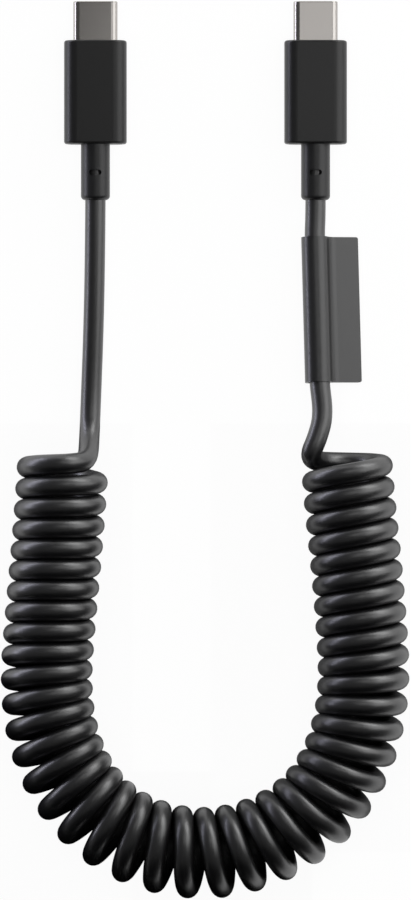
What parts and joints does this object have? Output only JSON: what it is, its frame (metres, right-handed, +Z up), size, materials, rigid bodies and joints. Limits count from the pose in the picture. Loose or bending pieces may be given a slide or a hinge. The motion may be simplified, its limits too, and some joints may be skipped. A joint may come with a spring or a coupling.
{
  "type": "coiled usb-c cable",
  "caption": "Cable with a slim rectangular-mouthed plug at each end and a springy coiled cord between them, bent into a U, for charging and data.",
  "frame": {"origin": "on the surface that the cable lies on, midway between the two plugs", "axes": "+X from the left plug to the right one, +Y towards the plugs' tips, +Z up"},
  "size_m": [0.076, 0.1671, 0.0171],
  "materials": {
    "shell_steel": "satin nickel plate",
    "carrier_plastic": "moulded, black",
    "contact_gold": "gold plated",
    "spring_steel": "rolled spring steel",
    "circuit_board": "solder mask",
    "wire_red": "insulation",
    "wire_blue": "insulation",
    "wire_black": "insulation",
    "wire_green": "insulation",
    "wire_white": "insulation",
    "tinned_sheet": "tinned sheet",
    "inner_mould": "moulded, natural",
    "housing_plastic": "moulded, satin black",
    "strain_relief_rubber": "moulded, matt black",
    "cord_jacket": "extruded, satin black",
    "tag_vinyl": "folded vinyl sheet"
  },
  "bodies": {
    "root": {"left_plug_shell": "shell_steel", "left_contact_carrier": "carrier_plastic", "left_upper_contacts": "contact_gold", "left_lower_contacts": "contact_gold", "left_latch_plate": "spring_steel", "left_upper_ground_spring": "spring_steel", "left_lower_ground_spring": "spring_steel", "left_paddle_card": "circuit_board", "left_power_wire": "wire_red", "left_configuration_wire": "wire_blue", "left_ground_wire": "wire_black", "left_data_plus_wire": "wire_green", "left_data_minus_wire": "wire_white", "left_shield_can": "tinned_sheet", "left_inner_mould": "inner_mould", "left_housing": "housing_plastic", "left_strain_relief": "strain_relief_rubber", "right_plug_shell": "shell_steel", "right_contact_carrier": "carrier_plastic", "right_upper_contacts": "contact_gold", "right_lower_contacts": "contact_gold", "right_latch_plate": "spring_steel", "right_upper_ground_spring": "spring_steel", "right_lower_ground_spring": "spring_steel", "right_paddle_card": "circuit_board", "right_power_wire": "wire_red", "right_configuration_wire": "wire_blue", "right_ground_wire": "wire_black", "right_data_plus_wire": "wire_green", "right_data_minus_wire": "wire_white", "right_shield_can": "tinned_sheet", "right_inner_mould": "inner_mould", "right_housing": "housing_plastic", "right_strain_relief": "strain_relief_rubber", "left_lead": "cord_jacket", "coil": "cord_jacket", "right_lead": "cord_jacket", "cable_tag": "tag_vinyl"}
  },
  "joints": []
}
